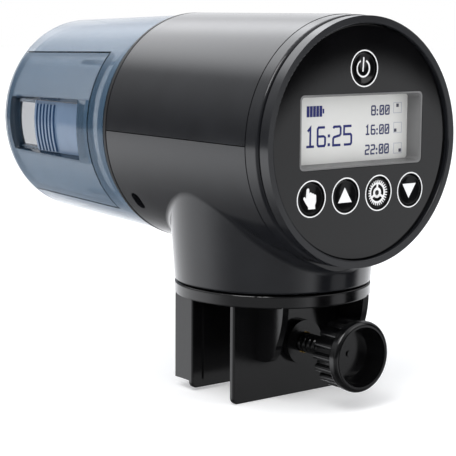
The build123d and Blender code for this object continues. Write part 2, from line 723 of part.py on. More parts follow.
def make_refill_door():
    """Curved snap-off door with the sloped pocket, floor and lips for the portion gate."""
    door_outer = [drum_radius(y) for y in DOOR_Y]
    door_inner = [radius - DRUM_WALL for radius in door_outer]
    tray_span = (TRAY_Y[0] - 4.0, TRAY_Y[1] + 1.2)
    tray_angles = (TRAY_ANGLES[0] - LIP_ANGLE - 2.2, TRAY_ANGLES[1] + LIP_ANGLE + 2.4)
    floor_inner = TRAY_FLOOR_R - TRAY_FLOOR_THICK
    pocket_y = (TRAY_Y[0] + TRAY_Y[1]) / 2
    with BuildPart() as refill_door:
        sector(DOOR_Y, door_outer, door_inner, DOOR_ANGLES)
        tray_outer = [drum_radius(y) - 0.02 for y in tray_span]
        sector(tray_span, tray_outer, (floor_inner, floor_inner), tray_angles)
        mouth = Plane(origin=(-36.0, pocket_y - 0.7, AXIS_Z - 1.2), x_dir=(0, -1, 0), z_dir=(-1, 0, 0))
        floor = Plane(origin=(-29.6, pocket_y, AXIS_Z - 1.9), x_dir=(0, -1, 0), z_dir=(-1, 0, 0))
        with BuildSketch(mouth):
            RectangleRounded(TRAY_Y[1] - TRAY_Y[0] + 6.0, 23.4, 0.8)
        with BuildSketch(floor):
            RectangleRounded(TRAY_Y[1] - TRAY_Y[0], 15.2, 0.3)
        loft(mode=Mode.SUBTRACT)
        sector(TRAY_Y, (LIP_R, LIP_R), (TRAY_FLOOR_R, TRAY_FLOOR_R),
               (TRAY_ANGLES[0] - LIP_ANGLE, TRAY_ANGLES[1] + LIP_ANGLE), mode=Mode.SUBTRACT)
        sector(OUTLET_Y, (LIP_R, LIP_R), (20.0, 20.0), OUTLET_ANGLES, mode=Mode.SUBTRACT)
        tab_y = (DOOR_Y[0] + 3.4, DOOR_Y[0] + 16.4)
        root_r = drum_radius(tab_y[1]) - DRUM_WALL / 2
        for low in (18.8, -22.6):
            root_x = math.sqrt(root_r ** 2 - max(abs(low), abs(low + 1.4)) ** 2)
            block((-root_x, tab_y[0], AXIS_Z + low), (-20.5, tab_y[1], AXIS_Z + low + 1.4))
    write(refill_door, "refill_door")


def make_portion_gate():
    """Curved sliding shutter with grip ridges; it runs under the door's lips."""
    inner_r = TRAY_FLOOR_R + 0.12
    outer_r = inner_r + GATE_THICK
    edge_angle = LIP_ANGLE - 0.35
    ridge_start = 73.2
    ridge_pitch = 2.05
    with BuildPart() as portion_gate:
        sector(GATE_Y, (outer_r, outer_r), (inner_r, inner_r),
               (TRAY_ANGLES[0] - edge_angle, TRAY_ANGLES[1] + edge_angle))
        for k in range(6):
            y = ridge_start + k * ridge_pitch
            sector((y - 0.5, y + 0.5), (outer_r + 0.7, outer_r + 0.7), (outer_r - 0.3, outer_r - 0.3),
                   (TRAY_ANGLES[0] + 0.9, TRAY_ANGLES[1] - 0.9))
    write(portion_gate, "portion_gate")


# ---------------------------------------------------------------- clamp
def jaw(stations, bottom):
    """Flat jaw plate with rounded lower corners."""
    height = BRIDGE_UNDER - bottom
    with BuildSketch(across(stations[0], bottom + height / 2)) as outline:
        Rectangle(2 * JAW_HALF, height)
        fillet(outline.vertices().group_by(Axis.Y)[0], 2.0)
    extrude(outline.sketch, amount=-(stations[1] - stations[0]))


def rib(low_x, high_x, root_y, tip_y, low_y):
    """Upright rib: full depth at the bridge, curving in to a round end."""
    top_z = BRIDGE_UNDER + 0.5
    bend_z = -10.6
    end_z = -16.2
    middle = (tip_y + low_y) / 2 + (tip_y - low_y) * 0.2
    foot = root_y + (low_y - root_y) * 0.3
    round_y = (low_y + foot) / 2 + (low_y - foot) * 0.22
    with BuildSketch(Plane(origin=(low_x, 0, 0), x_dir=(0, 1, 0), z_dir=(1, 0, 0))) as outline:
        with BuildLine():
            Line((root_y, top_z), (tip_y, top_z))
            ThreePointArc((tip_y, top_z), (middle, bend_z / 2), (low_y, bend_z))
            ThreePointArc((low_y, bend_z), (round_y, end_z + 1.6), (foot, end_z))
            Line((foot, end_z), (root_y, end_z))
            Line((root_y, end_z), (root_y, top_z))
        make_face()
    extrude(outline.sketch, amount=high_x - low_x)


def make_clamp_body():
    """One moulding: swivel disc and hub, seat, two jaws, side flanges and ribs."""
    with BuildPart() as clamp_body:
        jaw(FRONT_JAW, JAW_BOTTOMS[0])
        jaw(REAR_JAW, JAW_BOTTOMS[1])
        below_bridge = clamp_body.edges().filter_by(lambda e: e.center().Z < BRIDGE_UNDER - 0.1)
        fillet(below_bridge.filter_by(lambda e: e.length > 2.5), 0.5)
        with BuildSketch(Plane.XY.offset(BRIDGE_UNDER)):
            Circle(CLAMP_R)
        extrude(amount=BRIDGE_TOP - BRIDGE_UNDER)
        rim = clamp_body.edges().filter_by(GeomType.CIRCLE).filter_by(lambda e: e.radius > CLAMP_R - 0.01)
        fillet(rim, 0.5)
        block((-24.0, FRONT_JAW[1] + 0.5, 0.0), (24.0, REAR_JAW[0] - 1.0, BRIDGE_UNDER))
        block((-21.0, REAR_JAW[0] - 0.5, -25.0), (21.0, REAR_JAW[0] + 0.2, -3.0))
        for side in (-1, 1):
            block(
                (side * JAW_HALF - (side + 1), REAR_JAW[1] - 0.7, FLANGE_BOTTOM),
                (side * JAW_HALF - (side - 1), FLANGE_END, BRIDGE_UNDER + 0.3),
            )
            near, far = RIB_X
            low_x = near if side > 0 else -far
            for root, tip, low in ((FRONT_JAW[0] + 0.4, -24.6, -21.7), (REAR_JAW[1] - 0.4, 24.4, 21.5)):
                rib(low_x, low_x + far - near, root, tip, low)
        disc(FRONT_JAW[0] + 0.4, FRONT_JAW[0] - BOSS_LENGTH, 6.6, z=SCREW_Z)
        with BuildSketch(across(FRONT_JAW[1], SCREW_Z)):
            RegularPolygon(INSERT_R + 0.05, 6)
        extrude(amount=INSERT_LENGTH + 0.1, mode=Mode.SUBTRACT)
        disc(FRONT_JAW[1], FRONT_JAW[0] - BOSS_LENGTH - 1, SCREW_R + 0.3, z=SCREW_Z, mode=Mode.SUBTRACT)
        with BuildSketch(Plane.XY.offset(BRIDGE_TOP)):
            Circle(25.0)
            Circle(21.0, mode=Mode.SUBTRACT)
        extrude(amount=0.3)
        with BuildSketch(Plane.XY.offset(BRIDGE_TOP)):
            Circle(HUB_R)
        extrude(amount=HUB_TOP - BRIDGE_TOP)
        with BuildSketch(Plane.XY.offset(2.0)):
            Circle(1.75)
        extrude(amount=HUB_TOP, mode=Mode.SUBTRACT)
    write(clamp_body, "clamp_body")


def make_clamp_screw():
    """Brass insert, threaded rod with a ball end, fluted knob and pressure pad."""
    with BuildPart() as screw_insert:
        with BuildSketch(across(FRONT_JAW[1] - 0.1, SCREW_Z)):
            RegularPolygon(INSERT_R, 6)
        extrude(amount=INSERT_LENGTH)
        disc(FRONT_JAW[1], FRONT_JAW[1] - 6, SCREW_R + 0.06, z=SCREW_Z, mode=Mode.SUBTRACT)
    write(screw_insert, "screw_insert")

    knob_front, knob_rear = KNOB_Y
    ball_y = -9.9
    with BuildPart() as clamp_screw:
        turned([
            (knob_rear - 2.4, 0),
            (knob_rear - 2.4, SCREW_R),
            (FRONT_JAW[1] - 1.7, SCREW_R),
            (FRONT_JAW[1] - 1.2, SCREW_R - 0.5),
            (FRONT_JAW[1] - 1.2, 1.15),
            (ball_y, 1.15),
            (ball_y, 0),
        ], axis=SCREW_AXIS)
        with Locations((0, ball_y, SCREW_Z)):
            Sphere(1.65)
    write(clamp_screw, "clamp_screw")

    ring_end = knob_front + KNOB_RING
    lobes = [polar(KNOB_R - 1.5, 360.0 * k / KNOB_LOBES) for k in range(KNOB_LOBES)]
    with BuildPart() as clamp_knob:
        disc(ring_end + 0.2, knob_front, KNOB_R, z=SCREW_Z)
        front_edge = clamp_knob.edges().filter_by(GeomType.CIRCLE).sort_by(Axis.Y)
        fillet(front_edge[0], 1.3)
        fillet(clamp_knob.edges().filter_by(GeomType.CIRCLE).sort_by(Axis.Y)[-1], 0.6)
        disc(knob_rear, ring_end, KNOB_R - 1.6, z=SCREW_Z)
        studs(knob_rear, ring_end, lobes, 1.2, z=SCREW_Z)
        disc(knob_rear + 1.0, knob_rear, 5.2, z=SCREW_Z)
        turned([
            (knob_front - 0.5, 0),
            (knob_front - 0.5, 8.7),
            (knob_front + 0.6, 8.5),
            (knob_front + 5.8, 7.0),
            (knob_front + 5.8, 0),
        ], axis=SCREW_AXIS, mode=Mode.SUBTRACT)
        disc(knob_front + 5.8, knob_front + 5.4, 0.9, z=SCREW_Z)
        disc(knob_rear + 2, knob_rear - 2.45, SCREW_R + 0.02, z=SCREW_Z, mode=Mode.SUBTRACT)
    write(clamp_knob, "clamp_knob")

    with BuildPart() as pressure_pad:
        disc(PAD_FACE, PAD_FACE - 1.3, PAD_R, z=SCREW_Z)
        fillet(pressure_pad.edges().filter_by(GeomType.CIRCLE).sort_by(Axis.Y)[0], 0.5)
        disc(PAD_FACE - 1.0, FRONT_JAW[1] + 0.2, 3.4, z=SCREW_Z)
        with Locations((0, ball_y, SCREW_Z)):
            Sphere(1.75, mode=Mode.SUBTRACT)
    write(pressure_pad, "pressure_pad")


def make_swivel():
    """Screw, washer and coil spring that hold the neck down on the clamp."""
    with BuildPart() as swivel_washer:
        with BuildSketch(Plane.XY.offset(HUB_TOP)):
            Circle(11.0)
            Circle(2.1, mode=Mode.SUBTRACT)
        extrude(amount=1.2)
        chamfer(swivel_washer.edges().filter_by(GeomType.CIRCLE).sort_by(SortBy.RADIUS)[-2:], 0.25)
    write(swivel_washer, "swivel_washer")
    screw_set("swivel_screw", Plane.XY.offset(HUB_TOP + 1.2), [(0, 0)], 4.0, 2.4, 1.7, 14.0)

    wire_r = 0.7
    coil_r = 8.3
    rest = NECK_FLOOR + wire_r + 0.1
    rise = HUB_TOP - wire_r - 0.1 - rest
    with BuildPart() as swivel_spring:
        with BuildLine():
            coil = Helix(pitch=rise / 3, height=rise, radius=coil_r, center=(0, 0, rest))
        with BuildSketch(Plane(origin=coil @ 0, z_dir=coil % 0)):
            Circle(wire_r)
        sweep()
    write(swivel_spring, "swivel_spring")


make_front_bezel()
make_fascia_panel()
make_display()
make_buttons()
make_board()
make_housing()
make_charging_socket()
make_battery()
make_bulkhead()
make_gear_bridge()
make_gears()
make_carrier()
make_food_drum()
make_refill_door()
make_portion_gate()
make_clamp_body()
make_clamp_screw()
make_swivel()
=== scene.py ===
import json
import math

import bpy
import bmesh
from mathutils import Euler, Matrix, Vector
from mathutils.bvhtree import BVHTree


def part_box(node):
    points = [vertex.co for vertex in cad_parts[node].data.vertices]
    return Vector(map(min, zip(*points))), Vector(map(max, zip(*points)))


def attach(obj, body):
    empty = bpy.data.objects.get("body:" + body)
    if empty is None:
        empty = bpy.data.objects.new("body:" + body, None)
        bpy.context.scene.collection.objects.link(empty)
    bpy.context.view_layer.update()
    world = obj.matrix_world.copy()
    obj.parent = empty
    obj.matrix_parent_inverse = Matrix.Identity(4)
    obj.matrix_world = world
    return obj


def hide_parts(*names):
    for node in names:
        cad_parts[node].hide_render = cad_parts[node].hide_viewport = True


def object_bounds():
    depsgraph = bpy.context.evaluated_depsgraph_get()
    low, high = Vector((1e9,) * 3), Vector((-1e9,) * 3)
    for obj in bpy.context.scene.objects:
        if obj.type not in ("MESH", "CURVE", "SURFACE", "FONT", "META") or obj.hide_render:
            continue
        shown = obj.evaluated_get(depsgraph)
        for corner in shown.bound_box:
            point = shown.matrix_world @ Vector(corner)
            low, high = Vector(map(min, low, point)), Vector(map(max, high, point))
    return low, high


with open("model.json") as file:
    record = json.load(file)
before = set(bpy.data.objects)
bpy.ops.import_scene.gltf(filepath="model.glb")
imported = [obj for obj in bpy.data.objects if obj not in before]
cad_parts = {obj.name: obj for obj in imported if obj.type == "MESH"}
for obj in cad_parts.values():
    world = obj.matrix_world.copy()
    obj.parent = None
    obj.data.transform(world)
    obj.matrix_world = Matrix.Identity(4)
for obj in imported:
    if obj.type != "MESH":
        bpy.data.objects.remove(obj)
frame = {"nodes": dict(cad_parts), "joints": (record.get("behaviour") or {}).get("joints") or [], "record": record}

cad_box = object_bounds()

# Automatic fish feeder: materials for every CAD node, printed marks and a threaded rod.
MM = 0.001
JOINTS = {joint["name"]: joint for joint in frame["joints"]}
AXIS_Z = JOINTS["drum_spin"]["pos_m"][2]
SCREW_Z = JOINTS["screw_turn"]["pos_m"][2]
BUTTONS = ["power_button", "feed_button", "up_button", "set_button", "down_button"]
DRUM_END = (0.1012, 0.1018)     # y where the drum's end wall takes over from its skin

# ---------------------------------------------------------------- camera
CAMERA_PLACE = Vector((-0.285448, -0.341764, 0.083970))
CAMERA_TURN = (81.7579, -0.3650, -38.0792)      # degrees about X, Y and Z
CAMERA_LENS = 118.42                            # on a sensor 36 mm wide


def make_camera():
    data = bpy.data.cameras.new("camera")
    data.lens = CAMERA_LENS
    data.sensor_width = 36.0
    data.clip_start = 0.01
    camera = bpy.data.objects.new("camera", data)
    camera.location = CAMERA_PLACE
    camera.rotation_euler = Euler([math.radians(angle) for angle in CAMERA_TURN])
    bpy.context.scene.collection.objects.link(camera)
    bpy.context.scene.camera = camera


# ---------------------------------------------------------------- node helpers
class Nodes:
    """Short way to add nodes and links to one node tree."""

    def __init__(self, tree):
        self.tree = tree
        tree.nodes.clear()

    def add(self, kind, **settings):
        node = self.tree.nodes.new(kind)
        for name, value in settings.items():
            setattr(node, name, value)
        return node

    def put(self, value, socket):
        """Links a socket, or sets a constant, on an input."""
        if isinstance(value, bpy.types.NodeSocket):
            self.tree.links.new(value, socket)
        else:
            socket.default_value = value

    def math(self, operation, a, b=0.0):
        node = self.add("ShaderNodeMath", operation=operation)
        self.put(a, node.inputs[0])
        self.put(b, node.inputs[1])
        return node.outputs[0]

    def dot(self, vector, direction):
        node = self.add("ShaderNodeVectorMath", operation="DOT_PRODUCT")
        self.put(vector, node.inputs[0])
        self.put(direction, node.inputs[1])
        return node.outputs["Value"]

    def smooth(self, value, low, high, to_low=0.0, to_high=1.0):
        """Smooth step from one value to another."""
        node = self.add("ShaderNodeMapRange", interpolation_type="SMOOTHSTEP")
        self.put(value, node.inputs["Value"])
        limits = {"From Min": low, "From Max": high, "To Min": to_low, "To Max": to_high}
        for name, number in limits.items():
            node.inputs[name].default_value = number
        return node.outputs["Result"]

    def blend(self, share, a, b):
        """Mixes two numbers."""
        node = self.add("ShaderNodeMix", data_type="FLOAT")
        self.put(share, node.inputs["Factor"])
        self.put(a, node.inputs["A"])
        self.put(b, node.inputs["B"])
        return node.outputs["Result"]

    def mix(self, share, a, b):
        """Mixes two colours."""
        node = self.add("ShaderNodeMix", data_type="RGBA")
        self.put(share, node.inputs["Factor"])
        self.put(a, node.inputs["A"])
        self.put(b, node.inputs["B"])
        return node.outputs["Result"]

    def noise(self, vector, scale, detail=2.0, roughness=0.5):
        node = self.add("ShaderNodeTexNoise")
        self.put(vector, node.inputs["Vector"])
        node.inputs["Scale"].default_value = scale
        node.inputs["Detail"].default_value = detail
        node.inputs["Roughness"].default_value = roughness
        return node.outputs["Fac"]


def rgb(hex_code):
    """Linear colour from a screen colour such as 3c3c3c."""
    parts = [int(hex_code[k:k + 2], 16) / 255 for k in (0, 2, 4)]
    return [p / 12.92 if p < 0.04045 else ((p + 0.055) / 1.055) ** 2.4 for p in parts] + [1.0]


# ---------------------------------------------------------------- light
# Directions point out from the object and are normalised in use. Edge and full are cosines to
# them, and the height of a direction is its z.
SOFTBOXES = (                   # toward, edge, full, power
    ((0.12, 0.60, 0.80), 0.82, 0.96, 2.0),
    ((0.52, 0.79, 0.34), 0.90, 0.985, 1.0),
    ((-0.97, -0.05, 0.25), 0.90, 0.99, 0.9),
)
DIM_TOWARD = (-0.80, -0.60, 0.05)
ARCH_TOWARD = (0.6866, -0.727, 0.0)
ARCH_FOOT = -0.25
ARCH_HALF_WIDTH = 0.19
ARCH_HEIGHT = 0.255
LIGHTS = (                      # name, place, size, power
    ("key", (-0.55, -0.25, 0.75), 0.5, 4.0),
    ("fill", (0.5, -0.8, 0.5), 0.6, 1.5),
)


def make_world():
    """White backdrop; in reflections a studio with a pale table, softboxes, a dim corner and an arch.

    The arch is a bright patch that the fascia mirrors. Diffuse light is plainer than the reflections."""
    world = bpy.data.worlds.new("studio")
    bpy.context.scene.world = world
    world.use_nodes = True
    n = Nodes(world.node_tree)
    direction = n.add("ShaderNodeTexCoord").outputs["Generated"]
    height = n.dot(direction, (0, 0, 1))

    studio = n.smooth(height, -0.02, 0.75, 0.20, 0.95)
    for toward, edge, full, power in SOFTBOXES:
        box = n.smooth(n.dot(direction, Vector(toward).normalized()), edge, full, 0.0, power)
        studio = n.math("ADD", studio, box)
    table = n.smooth(height, -0.70, -0.20, 0.10, 1.7)
    studio = n.blend(n.smooth(height, -0.098, -0.082), table, studio)
    dim = n.smooth(n.dot(direction, Vector(DIM_TOWARD).normalized()), 0.25, 0.85, 1.0, 0.28)
    studio = n.math("MULTIPLY", studio, dim)

    ahead = Vector(ARCH_TOWARD).normalized()
    across = Vector((-ahead.y, ahead.x, 0.0))
    u = n.math("DIVIDE", n.dot(direction, across), ARCH_HALF_WIDTH)
    v = n.math("DIVIDE", n.math("ADD", height, -ARCH_FOOT), ARCH_HEIGHT)
    reach = n.math("SQRT", n.math("ADD", n.math("MULTIPLY", u, u), n.math("MULTIPLY", v, v)))
    foot = n.smooth(height, -0.235, -0.195, 0.45, 1.0)
    arch = n.math("MULTIPLY", n.smooth(reach, 0.90, 1.04, 0.92, 0.0), foot)
    reflected = n.blend(n.smooth(n.dot(direction, ahead), 0.74, 0.88), studio, arch)

    soft = n.smooth(height, -0.7, 0.7, 0.42, 0.95)
    rays = n.add("ShaderNodeLightPath").outputs
    strength = n.blend(rays["Is Camera Ray"], n.blend(rays["Is Diffuse Ray"], reflected, soft), 1.0)
    background = n.add("ShaderNodeBackground")
    cool = n.mix(rays["Is Camera Ray"], (0.965, 0.975, 1.0, 1.0), (1.0, 1.0, 1.0, 1.0))
    n.put(cool, background.inputs["Color"])
    n.put(strength, background.inputs["Strength"])
    n.put(background.outputs[0], n.add("ShaderNodeOutputWorld").inputs["Surface"])


def make_lights():
    """A large soft key over the left shoulder and a soft fill from the right."""
    aim = Vector((0, 0.02, 0.03))
    for name, place, size, power in LIGHTS:
        data = bpy.data.lights.new(name, "AREA")
        data.size = size
        data.energy = power
        light = bpy.data.objects.new(name, data)
        light.location = place
        light.rotation_euler = (aim - Vector(place)).to_track_quat("-Z", "Y").to_euler()
        bpy.context.scene.collection.objects.link(light)


def make_floor():
    """Plain pale floor under the clamp's jaws."""
    radius = 4.0
    mesh = bpy.data.meshes.new("floor")
    bm = bmesh.new()
    bmesh.ops.create_circle(bm, cap_ends=True, segments=96, radius=radius)
    bm.to_mesh(mesh)
    bm.free()
    floor = bpy.data.objects.new("floor", mesh)
    floor.location.z = cad_box[0].z
    bpy.context.scene.collection.objects.link(floor)
    material = bpy.data.materials.new("floor")
    material.use_nodes = True
    n = Nodes(material.node_tree)
    shader = n.add("ShaderNodeBsdfPrincipled")
    shader.inputs["Base Color"].default_value = (0.9, 0.9, 0.9, 1.0)
    shader.inputs["Roughness"].default_value = 0.9
    shader.inputs["Emission Color"].default_value = (1.0, 1.0, 1.0, 1.0)
    shader.inputs["Emission Strength"].default_value = 0.25
    n.put(shader.outputs[0], n.add("ShaderNodeOutputMaterial").inputs["Surface"])
    mesh.materials.append(material)
    floor.visible_glossy = False


# ---------------------------------------------------------------- materials
def surface(name, colour, spread=0.06, rough=(0.2, 0.3), metal=0.0, grain=0.0, grain_size=0.4,
            stretch=(1, 1, 1), alpha=None, edge_shade=None, patch=9.0):
    """Material with slow colour variation, uneven gloss and a fine grain; sizes in millimetres.

    alpha gives how solid it is face on and edge on. The tuple for faces that stand across the drum's skin gives
    painted shade: a dark colour and its solidity there, standing in for the darkening where light goes along the
    plastic."""
    material = bpy.data.materials.new(name)
    material.use_nodes = True
    n = Nodes(material.node_tree)
    mapping = n.add("ShaderNodeMapping")
    mapping.inputs["Scale"].default_value = stretch
    n.put(n.add("ShaderNodeTexCoord").outputs["Object"], mapping.inputs["Vector"])
    place = mapping.outputs["Vector"]
    slow = n.noise(place, 1000.0 / patch, 3.0)
    fine = n.noise(place, 1000.0 / grain_size, 4.0, 0.6)
    base = rgb(colour)
    dark = [c * (1.0 - spread) for c in base[:3]] + [1.0]
    light = [min(1.0, c * (1.0 + spread)) for c in base[:3]] + [1.0]
    shader = n.add("ShaderNodeBsdfPrincipled")
    tint = n.mix(n.smooth(slow, 0.3, 0.7), dark, light)
    uneven = n.math("ADD", n.math("MULTIPLY", slow, 0.6), n.math("MULTIPLY", fine, 0.4))
    n.put(n.smooth(uneven, 0.3, 0.7, rough[0], rough[1]), shader.inputs["Roughness"])
    shader.inputs["Metallic"].default_value = metal
    if grain:
        bump = n.add("ShaderNodeBump")
        bump.inputs["Strength"].default_value = grain
        bump.inputs["Distance"].default_value = 0.02 * MM
        n.put(fine, bump.inputs["Height"])
        n.put(bump.outputs[0], shader.inputs["Normal"])
    if alpha:
        edge = n.add("ShaderNodeLayerWeight")
        edge.inputs["Blend"].default_value = 0.45
        solid = n.smooth(edge.outputs["Facing"], 0.25, 0.78, alpha[0], alpha[1])
        across = across_skin(n)
        # Painted shade: faces across the drum's skin take the dark edge colour and solidity.
        tint = n.mix(across, tint, rgb(edge_shade[0]))
        n.put(n.blend(across, solid, edge_shade[1]), shader.inputs["Alpha"])
    n.put(tint, shader.inputs["Base Color"])
    n.put(shader.outputs[0], n.add("ShaderNodeOutputMaterial").inputs["Surface"])
    return material


# Mask for the painted shade on the drum's edge faces.
def across_skin(n):
    """1 where a face of the drum stands across its skin, 0 on the skin and on the end wall."""
    coordinates = n.add("ShaderNodeTexCoord").outputs
    centred = n.add("ShaderNodeVectorMath", operation="SUBTRACT")
    n.put(coordinates["Object"], centred.inputs[0])
    centred.inputs[1].default_value = (0.0, 0.0, AXIS_Z)
    radial = n.add("ShaderNodeVectorMath", operation="MULTIPLY")
    n.put(centred.outputs[0], radial.inputs[0])
    radial.inputs[1].default_value = (1.0, 0.0, 1.0)
    outward = n.add("ShaderNodeVectorMath", operation="NORMALIZE")
    n.put(radial.outputs[0], outward.inputs[0])
    facing = n.math("ABSOLUTE", n.dot(coordinates["Normal"], outward.outputs[0]))
    end_wall = n.smooth(n.dot(coordinates["Object"], (0, 1, 0)), *DRUM_END)
    return n.math("MULTIPLY", n.smooth(facing, 0.62, 0.88, 1.0, 0.0), n.math("SUBTRACT", 1.0, end_wall))


def make_materials():
    """One material for each slot of the record, and for the turning disc and the marks."""
    return {
        "shell_black": surface("shell_black", "17181b", 0.12, (0.13, 0.18), grain=0.03, grain_size=0.5),
        "carrier_black": surface("carrier_black", "1a1a1c", 0.08, (0.42, 0.52), grain=0.05),
        "face_black": surface("face_black", "09090a", 0.10, (0.04, 0.065)),
        "clamp_black": surface("clamp_black", "0a0a0b", 0.15, (0.13, 0.19), grain=0.03, grain_size=0.6),
        "button_black": surface("button_black", "0b0b0c", 0.10, (0.10, 0.15)),
        # smoke_clear and gate_smoke carry painted shade: a dark colour on their faces across the drum's skin,
        # standing in for light going along the plastic.
        "smoke_clear": surface("smoke_clear", "47627a", 0.03, (0.10, 0.15),
                               alpha=(0.28, 0.80), edge_shade=("1d2b38", 0.95)),
        "gate_smoke": surface("gate_smoke", "677a92", 0.04, (0.14, 0.20),
                              alpha=(0.84, 0.95), edge_shade=("2a4464", 1.0)),
        "window_grey": surface("window_grey", "707070", 0.03, (0.40, 0.50), grain=0.1),
        "display_glass": surface("display_glass", "d3d3d0", 0.015, (0.30, 0.36)),
        "white_plastic": surface("white_plastic", "e6e6e4", 0.02, (0.35, 0.45)),
        "mat_rubber": surface("mat_rubber", "6f7072", 0.08, (0.6, 0.75), grain=0.3),
        "board_green": surface("board_green", "1f6a3c", 0.10, (0.3, 0.4), grain=0.2),
        "screw_steel": surface("screw_steel", "b9bbbd", 0.06, (0.22, 0.34), metal=1.0),
        "inner_grey": surface("inner_grey", "3a3b3d", 0.08, (0.4, 0.5), grain=0.2),
        "cell_wrap": surface("cell_wrap", "2c5fa8", 0.06, (0.25, 0.35)),
        "motor_steel": surface("motor_steel", "b4b5b8", 0.05, (0.2, 0.34), metal=1.0, stretch=(1, 12, 1)),
        "bush_brass": surface("bush_brass", "c9a45c", 0.08, (0.2, 0.34), metal=1.0),
        "gear_white": surface("gear_white", "e4e0d4", 0.03, (0.35, 0.45)),
        "magnet_plate": surface("magnet_plate", "c6c6ca", 0.04, (0.12, 0.2), metal=1.0),
        "felt": surface("felt", "4c4c4e", 0.2, (0.9, 1.0), grain=1.0, grain_size=0.25),
        "spring_steel": surface("spring_steel", "a9abad", 0.06, (0.2, 0.3), metal=1.0),
        "pad_rubber": surface("pad_rubber", "161617", 0.12, (0.5, 0.65), grain=0.4),
        "print_white": surface("print_white", "e4e4e4", 0.02, (0.30, 0.40), grain=0.1),
        "segment_navy": surface("segment_navy", "141e6a", 0.05, (0.40, 0.50)),
        "segment_dim": surface("segment_dim", "363b63", 0.05, (0.40, 0.50)),
        "segment_faint": surface("segment_faint", "b4b6be", 0.03, (0.40, 0.50)),
        "segment_grey": surface("segment_grey", "484858", 0.04, (0.40, 0.50)),
    }


def paint(obj, material):
    """Gives an object one material through its own slots."""
    if not obj.material_slots:
        obj.data.materials.append(material)
    for slot in obj.material_slots:
        slot.link = "OBJECT"
        slot.material = material


# ---------------------------------------------------------------- flat marks
def circle(radius, count=64, centre=(0.0, 0.0)):
    turns = [2 * math.pi * k / count for k in range(count)]
    return [(centre[0] + radius * math.cos(t), centre[1] + radius * math.sin(t)) for t in turns]


def arc(radius, start, end, steps, centre=(0.0, 0.0)):
    angles = [math.radians(start + (end - start) * k / steps) for k in range(steps + 1)]
    return [(centre[0] + radius * math.cos(a), centre[1] + radius * math.sin(a)) for a in angles]


def stroke(points, width, closed=False):
    """Outlines of a line of constant width with mitred corners."""
    count = len(points)
    sides = ([], [])
    for k, point in enumerate(points):
        here = Vector(point)
        before = Vector(points[k - 1]) if closed or k else None
        after = Vector(points[(k + 1) % count]) if closed or k < count - 1 else None
        into = (here - before).normalized() if before is not None else (after - here).normalized()
        out = (after - here).normalized() if after is not None else into
        normal = Vector((-into.y, into.x))
        mitre = (normal + Vector((-out.y, out.x))).normalized()
        reach = width / 2 / max(0.4, mitre.dot(normal))
        sides[0].append(tuple(here + mitre * reach))
        sides[1].append(tuple(here - mitre * reach))
    if closed:
        return [sides[0], sides[1]]
    return [sides[0] + sides[1][::-1]]


def flat_mark(name, outlines, thickness, station, place=(0.0, 0.0)):
    """Thin raised mark on a surface that faces -Y.

    Outlines are in millimetres, x to the right and y up, about a place (x, z) in metres. station
    gives the surface's y at (x, z)."""
    curve = bpy.data.curves.new(name, "CURVE")
    curve.dimensions = "2D"
    curve.fill_mode = "BOTH"
    curve.extrude = thickness / 2
    for outline in outlines:
        spline = curve.splines.new("POLY")
        spline.points.add(len(outline) - 1)
        spline.use_cyclic_u = True
        for point, (x, y) in zip(spline.points, outline):
            point.co = (x, y, 0.0, 1.0)
    draft = bpy.data.objects.new(name + "_draft", curve)
    bpy.context.scene.collection.objects.link(draft)
    bpy.context.view_layer.update()
    mesh = bpy.data.meshes.new_from_object(draft.evaluated_get(bpy.context.evaluated_depsgraph_get()))
    mesh.name = name
    bpy.data.objects.remove(draft)
    bpy.data.curves.remove(curve)
    for vertex in mesh.vertices:
        x = place[0] + vertex.co.x * MM
        z = place[1] + vertex.co.y * MM
        lift = (vertex.co.z + thickness / 2) * MM
        vertex.co = (x, station(x, z) - lift, z)
    mesh.update()
    mark = bpy.data.objects.new(name, mesh)
    bpy.context.scene.collection.objects.link(mark)
    return mark


def front_of(node):
    """Function that gives the y of a node's front surface at (x, z)."""
    mesh = frame["nodes"][node].data
    tree = BVHTree.FromPolygons([v.co for v in mesh.vertices], [p.vertices for p in mesh.polygons])
    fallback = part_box(node)[0].y

    def station(x, z):
        hit = tree.ray_cast(Vector((x, -1.0, z)), Vector((0, 1, 0)))[0]
        return hit.y if hit is not None else fallback

    return station


# ---------------------------------------------------------------- digits
DIGITS = {
    "0": [([(0.12, 0), (0.88, 0), (1, 0.08), (1, 0.92), (0.88, 1), (0.12, 1), (0, 0.92), (0, 0.08)], True)],
    "1": [([(0.15, 0.82), (0.5, 1), (0.5, 0)], False), ([(0.0, 0), (1.0, 0)], False)],
    "2": [([(0, 0.92), (0.12, 1), (0.88, 1), (1, 0.92), (1, 0.6), (0.88, 0.52), (0.12, 0.44), (0, 0.36),
            (0, 0), (1, 0)], False)],
    "5": [([(1, 1), (0, 1), (0, 0.56), (0.86, 0.56), (1, 0.48), (1, 0.08), (0.88, 0), (0, 0)], False)],
    "6": [([(0.95, 1), (0.12, 1), (0, 0.92), (0, 0.08), (0.12, 0), (0.88, 0), (1, 0.08), (1, 0.44),
            (0.86, 0.52)], False),
          ([(0.06, 0.52), (0.86, 0.52)], False)],
    "8": [([(0.12, 0), (0.88, 0), (1, 0.08), (1, 0.44), (0.86, 0.52), (1, 0.6), (1, 0.92), (0.88, 1),
            (0.12, 1), (0, 0.92), (0, 0.6), (0.14, 0.52), (0, 0.44), (0, 0.08)], True),
          ([(0.14, 0.52), (0.86, 0.52)], False)],
}
SLASH = ([(0.28, 0.26), (0.72, 0.74)], False)


